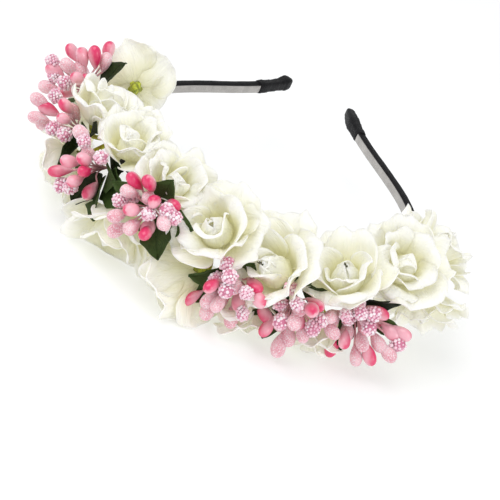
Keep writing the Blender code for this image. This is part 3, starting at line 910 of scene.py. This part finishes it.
def petal_sheet(azimuth, foot, rise, length, half_width, tilts, hug, roll, wave):
    """A petal over across, -1 to 1, and along, 0 to 1, in the rose's own axes.

    Its midrib leaves the foot flared out by PETAL_FLARE, stands up to the first tilt from the axis,
    bends from there to the second, and its last third rolls back. Across, it bends towards the axis
    as a circle of the midrib's own distance over hug would, and its outer part rolls back too. The
    rim's outline is a round-shouldered arch. Waves that grow towards the rim, a slight crumple, fine
    pleats and one sharp fold move it along its normal."""
    across, along = np.meshgrid(np.linspace(-1, 1, PETAL_COLUMNS), np.linspace(0, 1, PETAL_ROWS))
    reach = along * (1 - 0.24 * np.abs(across) ** 3.2)
    steps = np.linspace(0, 1, 101)
    last = np.clip((steps - 0.66) / 0.34, 0, 1)
    flare = (PETAL_FLARE - 0.6 * tilts[0]) * np.exp(-((steps / FLARE_SHARE) ** 2))
    lean = np.radians(tilts[0] + (tilts[1] - tilts[0]) * steps**1.3 + flare + roll * last**2 * 1.6)
    gap = length * (steps[1] - steps[0])
    ribs = []
    for way in (np.sin(lean), np.cos(lean)):
        ribs.append(np.concatenate([[0], np.cumsum((way[1:] + way[:-1]) / 2 * gap)]))
    radius = foot + np.interp(reach, steps, ribs[0])
    height = rise + np.interp(reach, steps, ribs[1])
    slope = np.interp(reach, steps, lean)
    bell = 0.30 + 0.70 * np.sin(np.pi / 2 * np.clip(along / 0.62, 0, 1)) ** 1.1
    bell = bell * (1 - 0.16 * np.clip((along - 0.62) / 0.38, 0, 1) ** 2)
    width = half_width * bell
    side_roll = np.radians(roll) * 2.2 * np.clip((np.abs(across) - 0.70) / 0.30, 0, 1) * along
    wrap = np.minimum(width * hug / np.maximum(radius, 1.0), 2.3)
    bend = running_sum(wrap - side_roll, across[0, 1] - across[0, 0])
    sideways = running_sum(width * np.cos(bend), across[0, 1] - across[0, 0])
    inward = running_sum(width * np.sin(bend), across[0, 1] - across[0, 0])
    phase = chance.uniform(0, 2 * np.pi, 6)
    ripple = np.sin(5.2 * across + phase[0] + 1.5 * along) + 0.6 * np.sin(8.6 * across + phase[1])
    crumple = np.sin(3.1 * across + 4.2 * along + phase[2])
    crumple = crumple + 0.7 * np.sin(6.3 * along - 4.5 * across + phase[3])
    pleat = np.sin(21.0 * across + phase[4]) * np.exp(-((across - 0.3 * np.sin(phase[5])) / 0.5) ** 2)
    crease_line = 0.9 * np.sin(phase[3]) * along + 0.5 * np.sin(phase[5]) - across
    crease = CREASE_DEPTH * np.exp(-np.abs(crease_line) / 0.12)
    uneven = 0.30 * crumple + 0.12 * pleat + crease
    inward = inward + wave * along**2.2 * ripple + uneven * along * (1.2 - along * 0.4)
    radius = radius - inward * np.cos(slope)
    height = height + inward * np.sin(slope)
    out = np.array([math.cos(azimuth), math.sin(azimuth), 0.0])
    aside = np.array([-math.sin(azimuth), math.cos(azimuth), 0.0])
    points = radius[..., None] * out + sideways[..., None] * aside + height[..., None] * UP
    flat = np.stack([(across + 1) / 2, reach], -1)
    return points, flat


def heart_sheet(height, radius):
    """The rolled heart: a strip wound HEART_TURNS times on a spiral that widens with each turn. Its
    side is a sine that bulges halfway up and closes in to the tip."""
    turn, along = np.meshgrid(np.linspace(0, 1, 85), np.linspace(0, 1, 17))
    angle = turn * HEART_TURNS * 2 * np.pi
    shape = (0.62 + 0.55 * np.sin(np.pi * np.clip(along * 1.05, 0, 1)) ** 0.9) * (1 - 0.45 * along**2.5)
    spread = (0.12 + 0.88 * turn**0.9) * radius * shape + 0.35 * turn**3 * along**4 * radius * 0.5
    top = height * (1 - 0.20 * turn + 0.05 * np.sin(angle * 1.5))
    points = np.stack([spread * np.cos(angle), spread * np.sin(angle), top * along], -1)
    return points, np.stack([turn * HEART_TURNS, along], -1)


def rested(points):
    """Points near the floor laid over onto it: heights below REST_HEIGHT close in on FLOOR_GAP as an
    exponential does, and never reach it."""
    depth = REST_HEIGHT - FLOOR_GAP
    near = np.minimum(points[..., 2] - REST_HEIGHT, 0)
    lifted = FLOOR_GAP + depth * np.exp(near / depth)
    height = np.where(points[..., 2] < REST_HEIGHT, lifted, points[..., 2])
    return np.concatenate([points[..., :2], height[..., None]], -1)


def rose_axes(place):
    """For one row of ROSES: the middle of the bloom, and the matrix from its axes to the crown's."""
    share, turn, distance, lean, swing, spin = place[:6]
    point, along, outward = hoop_at(share * FLEX_STATION)
    turn, lean, swing, spin = np.radians([turn, lean, swing, spin])
    middle = point + distance * (math.cos(turn) * outward + math.sin(turn) * UP)
    facing = math.cos(swing) * (math.cos(lean) * outward + math.sin(lean) * UP) + math.sin(swing) * along
    first = np.cross(facing, UP + 0.01 * along)
    first /= np.linalg.norm(first)
    second = np.cross(facing, first)
    first, second = (
        math.cos(spin) * first + math.sin(spin) * second,
        math.cos(spin) * second - math.sin(spin) * first,
    )
    return middle, np.stack([first, second, facing], -1)


PETAL_PAINTED_GLOW = 0.09  # painted glow: a faint warm light the petals give off themselves, in place of light through the thin cloth
PAINTED_GLOW_COLOUR = (1.0, 0.95, 0.62, 1.0)


def petal_finish():
    """Ivory petal cloth: yellow-green and darker towards the foot, most of all on the inner round, partly
    the cloth's own colour and partly painted shade deep in the bloom; a painted highlight, nearly white,
    at the rim; fine veins that run up from the foot, a faint mottle, and a faint warm painted glow."""
    constants = {"Roughness": 0.62, "Specular IOR Level": 0.3, "Sheen Weight": 0.15, "Sheen Roughness": 0.5}
    # The emission is painted glow, which lifts the petals' shade and warms it.
    constants |= {"Emission Color": PAINTED_GLOW_COLOUR, "Emission Strength": PETAL_PAINTED_GLOW}
    constants |= light_inside(0.4, (1.0, 0.95, 0.7), 0.003)
    material, shader, flow = new_finish("ivory_petal", constants)
    cloth = cloth_place(flow)
    tint_and_shade = piece_tint_and_shade(flow)
    along = cloth.part(1)
    veins = cloth.noise((34.0, 2.2, 1.0), 3.0, 0.6)
    mottle = object_place(flow).noise(190.0, 3.0)
    pale = mottle.mixed((0.925, 0.925, 0.81, 1), (0.95, 0.95, 0.885, 1))
    # Painted yellow-green and darker towards the foot, most on the inner round: partly the cloth's own
    # colour, partly painted shade deep in the bloom.
    foot = (1 - (along + (mottle - 0.5) * 0.35).eased(0.0, 0.9)) * (tint_and_shade * 0.6 + 0.4)
    aside = flow.math("ABSOLUTE", cloth.part(0) * 2.0 - 1.0)
    # Painted highlight: nearly white along the rim and along the sides of the upper part.
    rim = flow.math("MAXIMUM", along.eased(0.72, 1.0), aside.eased(0.8, 1.0) * along.eased(0.2, 0.6))
    body = foot.clamped().mixed(pale, (0.77, 0.74, 0.34, 1))
    feed(shader, {
        "Base Color": (rim * 0.8).mixed(body, (0.98, 0.98, 0.97, 1)),
        "Normal": (veins * 0.9 + mottle * 0.8).bumped(0.0010, 0.7),
    })
    return material


ivory_petal = petal_finish()


def heart_finish():
    """The heart's cloth: the petals' own, yellow-green and darker towards the foot, partly own colour and
    partly painted shade, with a near-black olive tip where it is twisted shut that is a painted shadow.
    """
    constants = {"Roughness": 0.62, "Specular IOR Level": 0.3}
    # Half the petals' painted glow.
    constants |= {"Emission Color": PAINTED_GLOW_COLOUR, "Emission Strength": PETAL_PAINTED_GLOW / 2}
    constants |= light_inside(0.25, (1.0, 0.95, 0.7), 0.002)
    material, shader, flow = new_finish("ivory_heart", constants)
    cloth = cloth_place(flow)
    mottle = object_place(flow).noise(190.0, 3.0)
    pale = mottle.mixed((0.925, 0.925, 0.84, 1), (0.96, 0.96, 0.90, 1))
    # Yellow-green and darker towards the foot: partly own colour, partly painted shade.
    body = (1 - cloth.part(1).eased(0.1, 0.8)).mixed(pale, (0.78, 0.76, 0.38, 1))
    feed(shader, {
        # Painted shadow: a near-black olive tip that stands for the dark gap in the middle of the bloom.
        "Base Color": cloth.part(1).eased(0.78, 0.9).mixed(body, (0.03, 0.03, 0.012, 1)),
        "Normal": mottle.bumped(0.0004, 0.5),
    })
    return material


ivory_heart = heart_finish()


CROWDED_TILT = 45.0  # how far a petal is stood up by a bunch that it would lie on
CROWDED_GAP, CLEAR_GAP = 6.0, 18.0  # from an open petal's end to a bunch's middle
PETAL_REACH = 13.0
all_bunch_axes = [bunch_axes(*row[:3]) for row in BUNCHES]
bunch_middles = np.array([foot + grows * BUNCH_RADIUS for foot, _, _, grows in all_bunch_axes])


def crowding(foot, axes, size, azimuth):
    """How hard a bunch presses on the petal at that azimuth: 1 where the open petal's end would be
    within CROWDED_GAP of a bunch's middle, falling evenly to 0 at CLEAR_GAP."""
    way = axes @ np.array([math.cos(azimuth), math.sin(azimuth), 0.5])
    end = foot + size * PETAL_REACH * way
    gap = np.linalg.norm(bunch_middles - end, axis=1).min()
    return float(np.clip((CLEAR_GAP - gap) / (CLEAR_GAP - CROWDED_GAP), 0, 1))


def bloom(number, place):
    """One rose's heart and its rounds of petals. Returns the petals' foot, the rose's axes and its size."""
    size, opening = place[6:]
    middle, axes = rose_axes(place)
    foot = middle - axes[:, 2] * FOOT_DEPTH * ROSE_RADIUS * size
    name = f"rose_{number:02d}"
    made = []
    for label, row in zip(ROUND_NAMES, ROUNDS):
        count, from_axis, rise, length, half_width, tilt, tip_tilt, hug, roll, wave = row
        start, loose = chance.uniform(0, 2 * np.pi), LOOSENESS[label]
        sheets = []
        for k in range(count):
            azimuth = start + 2 * np.pi * (k + chance.uniform(-0.25, 0.25)) / count
            vary = chance.normal(0, 1, 4)
            pressed = 0.0 if label == "inner" else crowding(foot, axes, size, azimuth)
            tilts = (tilt + opening * 0.5 + loose * vary[0], tip_tilt + opening + 1.5 * loose * vary[1])
            tilts = [angle - CROWDED_TILT * pressed for angle in tilts]
            points, flat = petal_sheet(
                azimuth, from_axis, rise, length * (1 + 0.05 * vary[2] - 0.2 * pressed),
                half_width * (1 + 0.06 * vary[3]), tilts, hug, roll * chance.uniform(0.5, 1.4), wave)
            points = rested(foot + size * points @ axes.T)
            # How yellow-green and dark this round's foot is painted: own colour and painted shade.
            tint_and_shade = np.full(points.shape[:2], FOOT_TINT_AND_SHADE[label])
            sheets.append((points[None], flat[None], tint_and_shade[None]))
        petals = new_piece(f"{name}_{label}_petals", sheets, ivory_petal, closed=False)
        add_wall(petals, PETAL_WALL)
        made.append(petals)
    opened = number in OPEN_HEARTS
    points, flat = heart_sheet(HEART_HEIGHT * (1.0 if opened else FOLDED_HEIGHT), HEART_RADIUS)
    if not opened:
        flat[..., 1] *= FOLDED_TIP
    points = foot + size * points @ axes.T
    rolled = (points[None], flat[None], np.ones(points.shape[:2])[None])
    heart = new_piece(f"{name}_heart", [rolled], ivory_heart, closed=False)
    add_wall(heart, PETAL_WALL)
    for piece in made + [heart]:
        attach(piece, "crown")
        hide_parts(f"{name}_petals")
    return foot, axes, size


# ---------------------------------------------------------------------------------------------
# The calyx under each rose: a small cup of waxed green cloth with five pointed sepals, on a wire
# stem that is bent over and glued to the ribbon.

CALYX_RADIUS, CALYX_DEPTH, CALYX_WALL = 2.05, 3.2, 0.35
SEPAL_LENGTH = 0.9
STEM_RADIUS = 0.8
STEM_BOW = 2.5  # how far past the cup the stem is bent


def calyx_finish():
    """Yellow-green waxed cloth, blotched with olive."""
    material, shader, flow = new_finish("calyx_green", {"Roughness": 0.5, "Subsurface Weight": 0.1})
    mottle = object_place(flow).noise(700.0, 3.0)
    feed(shader, {
        "Base Color": mottle.eased(0.35, 0.65).mixed((0.20, 0.22, 0.02, 1), (0.58, 0.62, 0.04, 1)),
        "Normal": mottle.bumped(0.0003, 0.6),
    })
    return material


calyx_green = calyx_finish()


def calyx_sheet(foot, axes, size, anchor):
    """A cup that widens up to its rim as a sine does, its rim drawn out to five points by the cosine
    of two and a half times the angle; and a stem on a quadratic curve from the cup's foot back to
    the hoop."""
    angle, along = np.meshgrid(np.linspace(0, 2 * np.pi, 41), np.linspace(0, 1, 14))
    point_out = np.abs(np.cos(2.5 * angle)) ** 1.5
    cup_part, sepal_part = np.clip(along / 0.5, 0, 1), np.clip((along - 0.5) / 0.5, 0, 1) * point_out
    radius = CALYX_RADIUS * (0.3 + 0.7 * np.sin(np.pi / 2 * cup_part)) + SEPAL_LENGTH * sepal_part
    height = -CALYX_DEPTH + (CALYX_DEPTH - 0.7) * cup_part + 0.9 * sepal_part
    local = np.stack([radius * np.cos(angle), radius * np.sin(angle), height], -1)
    cup = foot + size * local @ axes.T
    tail = foot - axes[:, 2] * size * CALYX_DEPTH
    way = np.linspace(0, 1, 9)[:, None]
    bow = tail - axes[:, 2] * STEM_BOW
    line = (1 - way) ** 2 * tail + 2 * way * (1 - way) * bow + way**2 * anchor
    run = np.gradient(line, axis=0)
    run /= np.linalg.norm(run, axis=1, keepdims=True)
    first = np.cross(run, axes[:, 0] + 0.1)
    first /= np.linalg.norm(first, axis=1, keepdims=True)
    second = np.cross(run, first)
    around = np.linspace(0, 2 * np.pi, 11)
    stem = line[:, None] + STEM_RADIUS * (
        np.cos(around)[:, None] * first[:, None] + np.sin(around)[:, None] * second[:, None])
    return [(grid[None], np.zeros((1, *grid.shape[:2], 2)), np.zeros((1, *grid.shape[:2])))
            for grid in (cup, stem)]


for number, place in enumerate(ROSES, 1):
    foot, axes, size = bloom(number, place)
    anchor = hoop_at(place[0] * FLEX_STATION)[0]
    cup, stem = calyx_sheet(foot, axes, size, anchor)
    calyx = new_piece(f"rose_{number:02d}_sepals", [cup], calyx_green, closed=False)
    add_wall(calyx, CALYX_WALL)
    stalk = new_piece(f"rose_{number:02d}_stem", [stem], calyx_green)
    for piece in (calyx, stalk):
        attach(piece, "crown")
        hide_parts(f"rose_{number:02d}_calyx")
